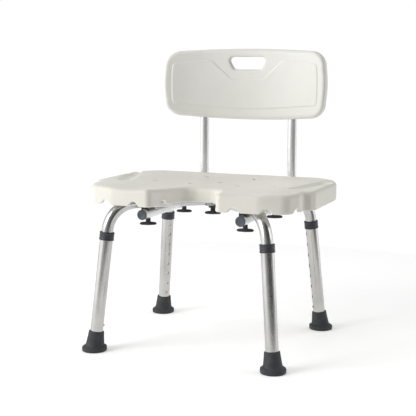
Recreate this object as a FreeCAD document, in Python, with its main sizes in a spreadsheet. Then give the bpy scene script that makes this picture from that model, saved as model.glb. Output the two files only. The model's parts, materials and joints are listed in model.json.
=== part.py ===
import FreeCAD, Part
import math
import os
import Sketcher
from FreeCAD import Placement, Rotation, Vector

# A height-adjustable shower chair with a backrest, in millimetres.
# +Z is up, the sitter looks along -Y, and +X is the sitter's left.
# The origin is on the floor, at the middle of the chair's box.

# Driving dimensions, one spreadsheet cell each.
DIMENSIONS = {
    # frame layout
    "crossing_y": -21.81,  # where the two cross tubes meet
    "cross_height": 323.7,  # centre line of the cross tubes
    "plan_angle": 41.6,  # each cross tube against the X axis
    "splay": 6.87,  # each leg against the vertical, in degrees
    "collar_radial": 245.2,  # from the crossing to a collar's centre
    "collar_height": 253.6,  # from the floor to a collar's centre
    # cross tubes
    "cross_diameter": 25.4,
    "cross_wall": 1.2,
    "cross_bend": 65.0,
    "cross_end": 40.0,  # from the floor to the tube's end, along the leg
    "crimp_half": 20.0,  # half the flattened stretch at the crossing
    "crimp_cut": 17.0,
    "crimp_gap": 0.3,
    "button_fit": 0.15,
    # lower legs
    "leg_diameter": 28.0,
    "leg_wall": 1.0,
    "leg_bottom": 9.0,
    "hole_pitch": 25.4,
    "hole_steps": 7.0,
    "hole_diameter": 7.0,
    "first_hole": 20.9,  # below the collar's centre
    "collar_diameter": 32.4,
    "collar_length": 18.0,
    "collar_lip": 4.0,
    "collar_band": 4.6,  # height of the collar's two raised bands
    "collar_waist": 0.7,  # how far it is recessed between them
    "collar_bore": 25.5,
    "washer_thickness": 3.0,
    # rubber feet
    "foot_flange": 54.6,
    "foot_sleeve_low": 38.6,
    "foot_sleeve_top": 32.6,
    "foot_height": 44.0,
    # snap buttons and their springs
    "button_diameter": 6.35,
    "button_reach": 16.3,  # from the leg's centre line to the button's tip
    "button_flange": 8.6,
    "button_inner": 8.0,
    "spring_thickness": 0.8,
    "spring_width": 9.0,
    "spring_rise": 42.0,
    # back tubes
    "back_x": 113.4,
    "back_height": 299.3,
    "back_front": 131.2,  # from the crossing forward to the tube's open end
    "back_post": 228.0,  # from the crossing back to the posts
    "back_diameter": 22.2,
    "back_wall": 1.2,
    "back_bend": 55.0,
    "post_top": 600.0,
    "cap_thickness": 2.5,
    "cap_plug": 12.0,
    "cap_rim": 0.2,  # how far the cap stands out past the tube
    # seat board
    "seat_top": 363.3,
    "seat_thickness": 39.8,
    "seat_half": 258.0,
    "seat_front": 186.0,
    "seat_back": 176.0,
    "recess_half": 75.0,
    "recess_end": 58.0,
    "skirt_wall": 9.0,
    "shell": 2.6,  # wall of the hollow mouldings
    "rim_radius": 9.0,
    "dish_depth": 6.8,
    "dish_radius": 200.0,
    "arch_radius": 13.6,
    "drain_diameter": 7.0,
    "drain_mouth": 16.0,
    "trough_radius": 22.0,  # the hand holds beside the seat
    "trough_depth": 7.0,
    "notch_radius": 9.0,  # where a hand hold runs out through the rim
    "notch_depth": 5.0,
    "insert_diameter": 12.0,
    "insert_length": 15.0,
    # backrest
    "panel_thickness": 34.0,
    "panel_half": 205.0,
    "panel_centre": 237.0,  # from the crossing back to the panel's middle
    "panel_sweep": 44.4,  # how far its ends come forward
    "panel_top": 660.6,
    "panel_bottom": 490.6,
    "panel_top_bow": 5.5,
    "panel_low_bow": 7.3,
    "panel_side_bow": 3.0,
    "panel_corner": 41.0,
    "panel_edge": 6.0,
    "slot_top": 641.0,
    "slot_bottom": 611.0,
    "slot_top_half": 50.0,
    "slot_bottom_half": 35.0,
    "slot_corner": 9.0,
    "screw_diameter": 4.0,
    "screw_head": 9.0,
    "screw_low": 522.0,
    "screw_high": 578.0,
    "screw_seat": 12.4,  # from a post's centre line back to the screw heads
    # wing knobs
    "bolt_diameter": 6.0,
    "bolt_hole": 6.6,
    "bolt_fit": 6.1,
    "bolt_top": 350.0,
    "knob_stem": 11.4,
    "wing_span": 37.0,
    "wing_width": 11.0,
    "wing_thickness": 7.6,
    "saddle_length": 32.0,
    "saddle_width": 18.0,
    "saddle_rise": 6.5,  # from a back tube's centre line to its saddle
    "spacer_width": 15.0,
    "spacer_height": 6.0,
    "clearance": 0.3,
}


class Size:
    """A number together with the spreadsheet expression that it comes from."""

    def __init__(self, value, text):
        self.value = float(value)
        self.text = text

    def joined(self, other, sign, value):
        return Size(value, "(%s %s %s)" % (self.text, sign, as_size(other).text))

    def __add__(self, other):
        return self.joined(other, "+", self.value + as_size(other).value)

    def __sub__(self, other):
        return self.joined(other, "-", self.value - as_size(other).value)

    def __mul__(self, other):
        return self.joined(other, "*", self.value * as_size(other).value)

    def __truediv__(self, other):
        return self.joined(other, "/", self.value / as_size(other).value)

    def __neg__(self):
        return Size(-self.value, "(0 - %s)" % self.text)


def as_size(number):
    if isinstance(number, Size):
        return number
    return Size(number, "(%s)" % repr(float(number)))


def sine(angle):
    return Size(math.sin(math.radians(angle.value)), "sin(%s * 1 deg)" % angle.text)


def cosine(angle):
    return Size(math.cos(math.radians(angle.value)), "cos(%s * 1 deg)" % angle.text)


def tangent(angle):
    return sine(angle) / cosine(angle)


doc = FreeCAD.newDocument("shower_chair")
sheet = doc.addObject("Spreadsheet::Sheet", "Sheet")
cell = {}
for row, (alias, number) in enumerate(DIMENSIONS.items(), start=1):
    sheet.set("A%d" % row, str(number))
    sheet.setAlias("A%d" % row, alias)
    cell[alias] = Size(number, "Sheet." + alias)
doc.recompute()

subparts = []


# ---------------------------------------------------------------- modelling helpers


def bind(thing, name, size):
    """Ties one property of an object to the sheet."""
    thing.setExpression(name, as_size(size).text)


def place(thing, x=0, y=0, z=0, rotation=None):
    """Puts an object at a point given by the sheet."""
    point = [as_size(x), as_size(y), as_size(z)]
    base = Vector(*[size.value for size in point])
    thing.Placement = Placement(base, rotation or Rotation())
    for axis, size in zip("xyz", point):
        bind(thing, "Placement.Base." + axis, size)
    return thing


def finished(thing, label):
    """Marks an object as one of the chair's sub-parts."""
    thing.Label = label
    subparts.append(thing)
    return thing


def cylinder(diameter, length, x=0, y=0, z=0, rotation=None):
    piece = doc.addObject("Part::Cylinder", "Cylinder")
    bind(piece, "Radius", as_size(diameter) / 2)
    bind(piece, "Height", length)
    return place(piece, x, y, z, rotation)


def cone(low, high, length, x=0, y=0, z=0, rotation=None):
    piece = doc.addObject("Part::Cone", "Cone")
    bind(piece, "Radius1", as_size(low) / 2)
    bind(piece, "Radius2", as_size(high) / 2)
    bind(piece, "Height", length)
    return place(piece, x, y, z, rotation)


def block(length, width, height, x=0, y=0, z=0, rotation=None):
    """A box with its bottom face centred on the point."""
    piece = doc.addObject("Part::Box", "Box")
    bind(piece, "Length", length)
    bind(piece, "Width", width)
    bind(piece, "Height", height)
    corner = (as_size(x) - as_size(length) / 2, as_size(y) - as_size(width) / 2, z)
    return place(piece, *corner, rotation)


def fused(pieces):
    joined = doc.addObject("Part::MultiFuse", "Fusion")
    joined.Shapes = pieces
    joined.Refine = True
    return joined


def cut(base, tools):
    """The base without its tools."""
    result = doc.addObject("Part::Cut", "Cut")
    result.Base = base
    result.Tool = tools[0] if len(tools) == 1 else fused(tools)
    result.Refine = True
    return result


def extruded(wire, direction, length, symmetric=False):
    """A closed wire pushed along a direction into a solid."""
    outline = doc.addObject("Part::Feature", "Outline")
    outline.Shape = wire
    slab = doc.addObject("Part::Extrusion", "Slab")
    slab.Base = outline
    slab.Dir = direction
    slab.Solid = True
    slab.Symmetric = symmetric
    bind(slab, "LengthFwd", length)
    return slab


def plane_of(body, role):
    return [datum for datum in body.Origin.OriginFeatures if datum.Role == role][0]


def new_sketch(body, role):
    sketch = body.newObject("Sketcher::SketchObject", "Sketch")
    sketch.AttachmentSupport = [(plane_of(body, role), "")]
    sketch.MapMode = "FlatFace"
    return sketch


def fix_vertex(sketch, piece, vertex, x, y):
    """Holds a vertex of a sketch at distances from the sketch's origin."""
    for kind, axis, size in (("DistanceX", -2, x), ("DistanceY", -1, y)):
        if size is None:
            continue
        size = as_size(size)
        if abs(size.value) < 1e-9:
            on_axis = Sketcher.Constraint("PointOnObject", piece, vertex, axis)
            sketch.addConstraint(on_axis)
            continue
        distance = Sketcher.Constraint(kind, -1, 1, piece, vertex, size.value)
        number = sketch.addConstraint(distance)
        sketch.setExpression("Constraints[%d]" % number, size.text)


def point(x, y):
    return Vector(as_size(x).value, as_size(y).value, 0)


def draw_polygon(sketch, corners):
    """A closed outline of straight lines, with each corner tied to the sheet."""
    first = sketch.GeometryCount
    following = corners[1:] + corners[:1]
    for start, end in zip(corners, following):
        sketch.addGeometry(Part.LineSegment(point(*start), point(*end)), False)
    for step, corner in enumerate(corners):
        after = first + (step + 1) % len(corners)
        meet = Sketcher.Constraint("Coincident", first + step, 2, after, 1)
        sketch.addConstraint(meet)
        fix_vertex(sketch, first + step, 1, *corner)


def draw_circle(sketch, diameter, x=0, y=0):
    diameter = as_size(diameter)
    ring = Part.Circle(point(x, y), Vector(0, 0, 1), diameter.value / 2)
    piece = sketch.addGeometry(ring, False)
    fix_vertex(sketch, piece, 3, x, y)
    across = Sketcher.Constraint("Diameter", piece, diameter.value)
    number = sketch.addConstraint(across)
    sketch.setExpression("Constraints[%d]" % number, diameter.text)


def padded(body, sketch, length, both_ways=False):
    pad = body.newObject("PartDesign::Pad", "Pad")
    pad.Profile = sketch
    bind(pad, "Length", length)
    if both_ways:
        pad.SideType = "Symmetric"
    return pad


def pocketed(body, sketch, length, both_ways=False, backwards=False):
    """A pocket, checked to have taken something away."""
    doc.recompute()
    before = body.Shape.Volume
    pocket = body.newObject("PartDesign::Pocket", "Pocket")
    pocket.Profile = sketch
    bind(pocket, "Length", length)
    pocket.Reversed = backwards
    if both_ways:
        pocket.SideType = "Symmetric"
    doc.recompute()
    if body.Shape.Volume > before - 1e-3:
        raise RuntimeError("a pocket of %s cuts nothing" % body.Label)
    return pocket


def turned(corners, name="Turned"):
    """A body turned about Z from (radius, height) corners."""
    body = doc.addObject("PartDesign::Body", name)
    sketch = new_sketch(body, "XZ_Plane")
    draw_polygon(sketch, corners)
    turn = body.newObject("PartDesign::Revolution", "Revolution")
    turn.Profile = sketch
    turn.ReferenceAxis = (sketch, ["V_Axis"])
    turn.Angle = 360
    return body


def draw_tangent_path(sketch, run, radius, turn_end, far_end, side):
    """A straight run along the sketch's X axis, a bend about a centre and a second run."""
    run, radius = as_size(run), as_size(radius)
    centre = point(run, radius * side)
    sketch.addGeometry(Part.LineSegment(Vector(), point(run, 0)), False)
    start, end = point(run, 0), point(*turn_end)
    first = math.atan2(start.y - centre.y, start.x - centre.x)
    last = math.atan2(end.y - centre.y, end.x - centre.x)
    ring = Part.Circle(centre, Vector(0, 0, 1), radius.value)
    arc = Part.ArcOfCircle(ring, min(first, last), max(first, last))
    sketch.addGeometry(arc, False)
    sketch.addGeometry(Part.LineSegment(end, point(*far_end)), False)
    near, far = (2, 1) if side < 0 else (1, 2)
    for pair in ((0, 2, 1, near), (1, far, 2, 1)):
        sketch.addConstraint(Sketcher.Constraint("Coincident", *pair))
    sketch.addConstraint(Sketcher.Constraint("Coincident", 0, 1, -1, 1))
    fix_vertex(sketch, 0, 2, run, 0)
    fix_vertex(sketch, 1, 3, run, radius * side)
    fix_vertex(sketch, 2, 1, None, turn_end[1])
    fix_vertex(sketch, 2, 2, *far_end)


def bent_tube(name, diameter, wall, profile_role, path_role, path):
    """A body with a hollow round section swept along a run, a bend and a run."""
    body = doc.addObject("PartDesign::Body", name)
    section = new_sketch(body, profile_role)
    draw_circle(section, diameter)
    draw_circle(section, diameter - wall * 2)
    spine = new_sketch(body, path_role)
    draw_tangent_path(spine, *path)
    doc.recompute()
    pipe = body.newObject("PartDesign::AdditivePipe", "Pipe")
    pipe.Profile = section
    pipe.Spine = (spine, ["Edge1", "Edge2", "Edge3"])
    doc.recompute()
    return body, pipe


def rounded_outline(corners):
    """A closed wire through (x, y, radius) corners, each turned by an arc."""
    starts, ends, middles = [], [], []
    for step, (x, y, radius) in enumerate(corners):
        here = Vector(x, y, 0)
        before = Vector(*corners[step - 1][:2], 0)
        after = Vector(*corners[(step + 1) % len(corners)][:2], 0)
        back = (before - here).normalize()
        ahead = (after - here).normalize()
        half = back.getAngle(ahead) / 2
        reach = radius / math.tan(half)
        starts.append(here + back * reach)
        ends.append(here + ahead * reach)
        inward = (back + ahead).normalize()
        middles.append(here + inward * (radius / math.sin(half) - radius))
    edges = []
    for step in range(len(corners)):
        if corners[step][2] > 0:
            arc = Part.Arc(starts[step], middles[step], ends[step])
            edges.append(arc.toShape())
        following = starts[(step + 1) % len(corners)]
        if ends[step].distanceToPoint(following) > 1e-6:
            edges.append(Part.LineSegment(ends[step], following).toShape())
    return Part.Wire(edges)


# ---------------------------------------------------------------- shared positions

plan_angle = cell["plan_angle"]
splay = cell["splay"]
cross_height = cell["cross_height"]
collar_radial = cell["collar_radial"]
floor_radial = collar_radial + cell["collar_height"] * tangent(splay)
collar_along = cell["collar_height"] / cosine(splay)
button_along = collar_along - cell["first_hole"] - cell["hole_pitch"] * cell["hole_steps"]
skirt_height = cell["seat_top"] - cell["seat_thickness"]
tube_top = cross_height + cell["cross_diameter"] / 2 + 0.1

# Each leg is named by the sitter's own left and right, with the signs of its X and Y.
LEGS = {
    "front_left": (1, -1),
    "front_right": (-1, -1),
    "back_left": (1, 1),
    "back_right": (-1, 1),
}
SIDES = {"left": 1, "right": -1}
SEAT_FLOOR = tube_top - skirt_height  # from the skirt's lower edge to the underside
DRAINS = [(142, 4), (58, 4), (60, 113), (-142, 4), (-58, 4), (-60, 113), (0, 48)]
SCREW_HEIGHTS = (cell["screw_low"], cell["screw_high"])
KNOB_TURNS = {"front_left": 12, "front_right": 24, "back_left": 20, "back_right": 16}
CENTRE_KNOB_TURN = 18

knob_y = cell["back_x"] * tangent(plan_angle)
knob_radial = cell["back_x"] / cosine(plan_angle)


def heading(leg):
    """The turn about Z that points +X at a leg, in degrees."""
    side_x, side_y = LEGS[leg]
    plan = math.radians(plan_angle.value)
    return math.degrees(math.atan2(side_y * math.sin(plan), side_x * math.cos(plan)))


def place_at_leg(thing, leg, radial, height, rotation):
    """Puts an object above a leg's plan line, at a distance from the crossing."""
    side_x, side_y = LEGS[leg]
    across = radial * cosine(plan_angle) * side_x
    back = cell["crossing_y"] + radial * sine(plan_angle) * side_y
    return place(thing, across, back, height, rotation)


def place_on_leg(thing, leg):
    """Local +Z runs up the leg from the floor, and local +X points outward."""
    lean = Rotation(Vector(0, 1, 0), -splay.value)
    turn = Rotation(Vector(0, 0, 1), heading(leg))
    return place_at_leg(thing, leg, floor_radial, 0, turn.multiply(lean))


# ---------------------------------------------------------------- cross tubes


def cross_tube(label, leg, above):
    """An inverted U, pressed to half its height where it meets the other one."""
    diameter, wall = cell["cross_diameter"], cell["cross_wall"]
    corner = floor_radial - cross_height * tangent(splay)
    reach = cell["cross_bend"] * tangent((as_size(90) - splay) / 2)
    run = corner - reach
    turn_end = (corner + reach * sine(splay), -(reach * cosine(splay)))
    end = cell["cross_end"]
    far_end = (floor_radial - end * sine(splay), end * cosine(splay) - cross_height)
    path = (run, cell["cross_bend"], turn_end, far_end, -1)
    body, pipe = bent_tube(label + "_body", diameter, wall, "YZ_Plane", "XZ_Plane", path)
    whole = body.newObject("PartDesign::Mirrored", "Mirrored")
    whole.Originals = [pipe]
    whole.MirrorPlane = (plane_of(body, "YZ_Plane"), [""])
    body.Tip = whole

    cut_half, crimp_half, gap = cell["crimp_cut"], cell["crimp_half"], cell["crimp_gap"]
    side = 1 if above else -1
    opening = new_sketch(body, "XZ_Plane")
    draw_polygon(opening, [
        (-cut_half, -diameter), (cut_half, -diameter), (cut_half, diameter), (-cut_half, diameter),
    ])
    pocketed(body, opening, diameter * 2, both_ways=True)
    flat = new_sketch(body, "XZ_Plane")
    near, far = gap * side, diameter / 2 * side
    draw_polygon(flat, [
        (-crimp_half, near), (crimp_half, near), (crimp_half, far), (-crimp_half, far),
    ])
    padded(body, flat, diameter, both_ways=True)
    hollow = new_sketch(body, "XZ_Plane")
    near, far = (gap + wall) * side, (diameter / 2 - wall) * side
    draw_polygon(hollow, [
        (-crimp_half, near), (crimp_half, near), (crimp_half, far), (-crimp_half, far),
    ])
    pocketed(body, hollow, diameter - wall * 2, both_ways=True)

    length = diameter * 2
    drills = [
        cylinder(cell["bolt_hole"], length, x, 0, -diameter)
        for x in (-knob_radial, 0, knob_radial)
    ]
    hole = cell["button_diameter"] + cell["button_fit"]
    for way in (1, -1):
        # from inside the leg towards the chair's middle, square to the leg
        turn = Rotation(Vector(0, 1, 0), -way * (90 + splay.value))
        x = (floor_radial - button_along * sine(splay)) * way
        z = button_along * cosine(splay) - cross_height
        drills.append(cylinder(hole, diameter, x, 0, z, turn))
    tube = finished(cut(body, drills), label)
    place(tube, 0, cell["crossing_y"], cross_height, Rotation(Vector(0, 0, 1), heading(leg)))


cross_tube("cross_tube_upper", "front_left", above=True)
cross_tube("cross_tube_lower", "front_right", above=False)


# ---------------------------------------------------------------- lower legs


def leg_tube(leg):
    """The outer tube, with a row of height holes on its inner side."""
    body = doc.addObject("PartDesign::Body", "Leg")
    section = new_sketch(body, "XY_Plane")
    draw_circle(section, cell["leg_diameter"])
    draw_circle(section, cell["leg_diameter"] - cell["leg_wall"] * 2)
    bind(section, "AttachmentOffset.Base.z", cell["leg_bottom"])
    top = collar_along + cell["collar_length"] / 2 - cell["collar_lip"]
    padded(body, section, top - cell["leg_bottom"])
    hole = new_sketch(body, "YZ_Plane")
    draw_circle(hole, cell["hole_diameter"], 0, button_along)
    drilled = pocketed(body, hole, cell["leg_diameter"])
    row = body.newObject("PartDesign::LinearPattern", "HeightHoles")
    row.Originals = [drilled]
    row.Direction = (plane_of(body, "Z_Axis"), [""])
    bind(row, "Length", cell["hole_pitch"] * cell["hole_steps"])
    bind(row, "Occurrences", cell["hole_steps"] + 1)
    body.Tip = row
    place_on_leg(finished(body, "leg_tube_" + leg), leg)


def leg_collar(leg):
    """The plastic collar that caps the outer tube and guides the inner one."""
    outer, fit, bore = (
        cell[name] / 2 for name in ("collar_diameter", "leg_diameter", "collar_bore")
    )
    half, lip = cell["collar_length"] / 2, cell["collar_lip"]
    bottom, top = collar_along - half, collar_along + half
    band, step = cell["collar_band"], cell["collar_waist"]
    waist = outer - step
    edge = step * 2
    body = turned([
        (fit, bottom), (outer, bottom), (outer, bottom + band), (waist, bottom + band + step),
        (waist, top - band - step), (outer, top - band), (outer, top - edge), (outer - edge, top),
        (bore, top), (bore, top - lip), (fit, top - lip),
    ], "Collar")
    place_on_leg(finished(body, "leg_collar_" + leg), leg)


def foot_washer(leg):
    """The steel disc that keeps the tube's end from cutting through the rubber."""
    body = doc.addObject("PartDesign::Body", "Washer")
    section = new_sketch(body, "XY_Plane")
    draw_circle(section, cell["leg_diameter"] - 0.4)
    bind(section, "AttachmentOffset.Base.z", cell["leg_bottom"] - cell["washer_thickness"])
    padded(body, section, cell["washer_thickness"])
    place_on_leg(finished(body, "foot_washer_" + leg), leg)


def rubber_foot(leg):
    """A level flange on the floor, with a sleeve that leans with the leg."""
    flange = cell["foot_flange"] / 2
    base = turned([
        (0, 0), (flange - 2.3, 0), (flange, 3), (flange, 8.5), (flange - 1.6, 11.6),
        (flange - 5.6, 14), (0, 14),
    ], "FootFlange")
    lean = Rotation(Vector(0, 1, 0), -splay.value)
    low = as_size(8)
    sleeve = cone(
        cell["foot_sleeve_low"] + 1, cell["foot_sleeve_top"], cell["foot_height"] - low,
        -(low * sine(splay)), 0, low * cosine(splay), lean,
    )
    start = cell["leg_bottom"] - cell["washer_thickness"]
    bore = cylinder(
        cell["leg_diameter"], cell["foot_height"],
        -(start * sine(splay)), 0, start * cosine(splay), lean,
    )
    depth, width = 1.4, 3
    tread = [
        turned([(inner, -1), (inner + width, -1), (inner + width, depth), (inner, depth)], "Tread")
        for inner in (8, 16)
    ]
    foot = finished(cut(fused([base, sleeve]), [bore] + tread), "rubber_foot_" + leg)
    place_at_leg(foot, leg, floor_radial, 0, Rotation(Vector(0, 0, 1), heading(leg)))


def snap_button(leg):
    """The domed pin that locks a leg, pointing at the chair's middle."""
    pin, flange = cell["button_diameter"] / 2, cell["button_flange"] / 2
    inner, tip = cell["button_inner"], cell["button_reach"]
    body = turned([
        (0, inner), (flange, inner), (flange, inner + 1.5), (pin, inner + 1.5),
        (pin, tip - 1.6), (pin - 0.8, tip - 0.5), (pin - 1.9, tip), (0, tip),
    ], "Button")
    inward = Rotation(Vector(0, 1, 0), -(90 + splay.value))
    turn = Rotation(Vector(0, 0, 1), heading(leg)).multiply(inward)
    radial = floor_radial - button_along * sine(splay)
    pin_height = button_along * cosine(splay)
    place_at_leg(finished(body, "snap_button_" + leg), leg, radial, pin_height, turn)


def leaf_spring(leg):
    """A bent steel strip inside the inner tube, pressing its button outward."""
    body = doc.addObject("PartDesign::Body", "Spring")
    strip = new_sketch(body, "XZ_Plane")
    thick = cell["spring_thickness"]
    near, far = -cell["button_inner"], cell["cross_diameter"] / 2 - cell["cross_wall"] - 1.4
    low, knee, top = button_along - 6, button_along + 7, button_along + cell["spring_rise"]
    draw_polygon(strip, [
        (near, low), (near, knee), (-thick, top + thick * 2), (thick, top + thick * 2), (far, low),
        (far - thick, low), (0, top), (near + thick, knee), (near + thick, low),
    ])
    padded(body, strip, cell["spring_width"], both_ways=True)
    place_on_leg(finished(body, "button_spring_" + leg), leg)


for leg_name in LEGS:
    leg_tube(leg_name)
    leg_collar(leg_name)
    foot_washer(leg_name)
    rubber_foot(leg_name)
    snap_button(leg_name)
    leaf_spring(leg_name)


# ---------------------------------------------------------------- back tubes


def back_tube(name, side):
    """Runs back under the seat, and bends up into a post for the backrest."""
    bend, height = cell["back_bend"], cell["back_height"]
    run = cell["back_front"] + cell["back_post"] - bend
    post = run + bend
    path = (run, bend, (post, bend), (post, cell["post_top"] - height), 1)
    body, _ = bent_tube(
        "BackTube", cell["back_diameter"], cell["back_wall"], "XZ_Plane", "YZ_Plane", path
    )
    across = cell["back_diameter"] * 2
    drills = [
        cylinder(cell["bolt_hole"], across, 0, cell["back_front"] + knob_y * way, -across / 2)
        for way in (-1, 1)
    ]
    for z in SCREW_HEIGHTS:
        back = Rotation(Vector(1, 0, 0), -90)
        drills.append(cylinder(cell["screw_diameter"], across, 0, post, z - height, back))
    tube = finished(cut(body, drills), "back_tube_" + name)
    place(tube, cell["back_x"] * side, cell["crossing_y"] - cell["back_front"], height)


def tube_cap(name, side):
    """The plug in a back tube's front end."""
    radius, plug = cell["back_diameter"] / 2, cell["cap_plug"]
    outer, inner = radius + cell["cap_rim"], radius - cell["back_wall"]
    face = plug + cell["cap_thickness"]
    body = turned([
        (0, 0), (inner, 0), (inner, plug), (outer, plug), (outer, face - 1), (outer - 1, face),
        (0, face),
    ], "Cap")
    forward = Rotation(Vector(1, 0, 0), 90)
    y = cell["crossing_y"] - cell["back_front"] + plug
    place(
        finished(body, "tube_cap_" + name),
        cell["back_x"] * side, y, cell["back_height"], forward,
    )


for side_name, side_sign in SIDES.items():
    back_tube(side_name, side_sign)
    tube_cap(side_name, side_sign)


# ---------------------------------------------------------------- seat board


def seat_corners():
    """Half of the seat's plan, from the recess round to the back, as x, y and radius."""
    half, front = cell["seat_half"].value, -cell["seat_front"].value
    recess, back = cell["recess_half"].value, cell["seat_back"].value
    end = -cell["recess_end"].value
    return [
        (0.53 * recess, end - 2, 38),
        (0.88 * recess, front + 46, 60),
        (recess, front + 3, 12),
        (165, front + 8, 60),
        (222, front + 22, 30),
        (half - 18, front + 62, 22),
        (half - 22, front + 94, 8),
        (half - 8, front + 102, 6),
        (half, front + 114, 10),
        (half, 90, 150),
        (half - 13, back, 80),
    ]


def seat_board():
    """A thick moulded board with a front recess, a skirt and a dished top."""
    half = seat_corners()
    mirrored = [(-x, y, radius) for x, y, radius in reversed(half)]
    plan = rounded_outline(half + mirrored)
    up = Vector(0, 0, 1)
    slab = extruded(plan, up, cell["seat_thickness"])
    doc.recompute()
    rim = doc.addObject("Part::Fillet", "SeatRim")
    rim.Base = slab
    top = cell["seat_thickness"].value
    edges = [
        number for number, edge in enumerate(slab.Shape.Edges, start=1)
        if edge.BoundBox.ZMin > top - 1e-3
    ]
    radius = cell["rim_radius"].value
    rim.Edges = [(number, radius, radius) for number in edges]

    wall, shell = cell["skirt_wall"], cell["shell"]
    underside = extruded(plan.makeOffset2D(-wall.value), up, SEAT_FLOOR)
    dish = doc.addObject("Part::Sphere", "Dish")
    depth, reach = cell["dish_depth"], cell["dish_radius"]
    bowl = (reach * reach + depth * depth) / (depth * 2)
    bind(dish, "Radius", bowl)
    place(dish, 0, 30, cell["seat_thickness"] - depth + bowl)

    air_height = cell["seat_thickness"] - depth - SEAT_FLOOR - shell * 2
    air = extruded(plan.makeOffset2D(-(wall + shell).value), up, air_height)
    place(air, 0, 0, SEAT_FLOOR + shell)
    pillars = [
        cylinder(as_size(across) + shell * 2, cell["seat_thickness"], x, y)
        for across, x, y in moulded_holes()
    ]
    tools = [underside, dish, cut(air, pillars)]
    tools += seat_arches() + seat_drains() + hand_holds() + insert_bores()
    board = finished(cut(rim, tools), "seat_board")
    place(board, 0, cell["crossing_y"], skirt_height)


def seat_arches():
    """Round notches in the skirt's lower edge, in front and through the lobes."""
    across = cell["arch_radius"] * 2
    forward = Rotation(Vector(1, 0, 0), 90)
    sideways = Rotation(Vector(0, 1, 0), 90)
    inner, outer, row_y, depth = 45, 280, -128, 70
    arches = []
    for way in SIDES.values():
        for x in (cell["back_x"], as_size(182)):
            arches.append(cylinder(across, depth, x * way, row_y, 0, forward))
        start = inner if way > 0 else -outer
        arches.append(cylinder(across, outer - inner, start, row_y, 0, sideways))
    return arches


def seat_drains():
    """Seven drain holes with countersunk mouths."""
    top = cell["seat_thickness"]
    drains = []
    for x, y in DRAINS:
        drains.append(cylinder(cell["drain_diameter"], top + 2, x, y, -1))
        mouth = top - cell["dish_depth"] - 3
        drains.append(cone(cell["drain_diameter"], cell["drain_mouth"], 5, x, y, mouth))
    return drains


def moulded_holes():
    """Every hole through the hollow board, as its diameter, x and y."""
    drains = [(cell["drain_mouth"], x, y) for x, y in DRAINS]
    inserts = [(cell["insert_diameter"], x, y) for x, y in bolt_places().values()]
    return drains + inserts


def hand_holds():
    """A rounded trough beside each side edge, with a small notch in the rim behind it."""
    radius, notch = cell["trough_radius"], cell["notch_radius"]
    height = cell["seat_thickness"] + radius - cell["trough_depth"]
    notch_height = cell["seat_thickness"] + notch - cell["notch_depth"]
    troughs = []
    for way in SIDES.values():
        start, end = Vector(204 * way, -34, 0), Vector(236 * way, 84, 0)
        ahead = end - start
        level = Rotation(Vector(0, 0, 1), ahead)
        troughs.append(cylinder(radius * 2, ahead.Length, start.x, start.y, height, level))
        for spot in (start, end):
            ball = doc.addObject("Part::Sphere", "TroughEnd")
            bind(ball, "Radius", radius)
            troughs.append(place(ball, spot.x, spot.y, height))
        outward = Rotation(Vector(0, 0, 1), Vector(way, 1, 0))
        troughs.append(cylinder(notch * 2, 60, 226 * way, 107, notch_height, outward))
    return troughs


def bolt_places():
    """The five bolts as x and y from the crossing."""
    places = {"centre": (as_size(0), as_size(0))}
    for name, (side_x, side_y) in LEGS.items():
        places[name] = (cell["back_x"] * side_x, knob_y * side_y)
    return places


def insert_bores():
    return [
        cylinder(cell["insert_diameter"], cell["insert_length"], x, y, SEAT_FLOOR)
        for x, y in bolt_places().values()
    ]


def threaded_inserts():
    """The five brass inserts moulded into the seat's underside."""
    rings = []
    for x, y in bolt_places().values():
        ring = cylinder(cell["insert_diameter"], cell["insert_length"], x, y, 0)
        bore = cylinder(cell["bolt_fit"], cell["insert_length"] * 2, x, y, -1)
        rings.append(cut(ring, [bore]))
    group = doc.addObject("Part::Compound", "Inserts")
    group.Links = rings
    place(finished(group, "seat_inserts"), 0, cell["crossing_y"], tube_top)


seat_board()
threaded_inserts()


# ---------------------------------------------------------------- backrest


def panel_outline():
    """The backrest from the front, as a wire in X and Z with bowed edges."""
    half, corner = cell["panel_half"].value, cell["panel_corner"].value
    high = (cell["panel_top"] - cell["panel_top_bow"]).value
    low = (cell["panel_bottom"] + cell["panel_low_bow"]).value
    edge = half - cell["panel_side_bow"].value
    shoulder = edge - corner * 0.9
    middle = (high + low) / 2
    wire = []

    def arc(*spots):
        points = [Vector(x, 0, z) for x, z in spots]
        wire.append(Part.Arc(*points).toShape())

    def knee(level, start):
        """The corner's own arc, from the long edge at one level to the short edge."""
        bulge = 0.42
        x, z = (shoulder + edge) / 2, (level + start) / 2
        return (x + (edge - x) * bulge, z + (level - z) * bulge)

    def flipped(spot):
        return (-spot[0], spot[1])

    rise = [(shoulder, high), knee(high, high - corner), (edge, high - corner)]
    drop = [(edge, low + corner), knee(low, low + corner), (shoulder, low)]
    arc(flipped(rise[0]), (0, cell["panel_top"].value), rise[0])
    arc(*rise)
    arc(rise[2], (half, middle), drop[0])
    arc(*drop)
    arc(drop[2], (0, cell["panel_bottom"].value), flipped(drop[2]))
    arc(*[flipped(spot) for spot in reversed(drop)])
    arc(flipped(drop[0]), (-half, middle), flipped(rise[2]))
    arc(*[flipped(spot) for spot in reversed(rise)])
    return Part.Wire(wire)


def sweep_radius():
    """The radius of the panel's middle surface in plan."""
    half, sweep = cell["panel_half"], cell["panel_sweep"]
    return (half * half + sweep * sweep) / (sweep * 2)


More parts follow.
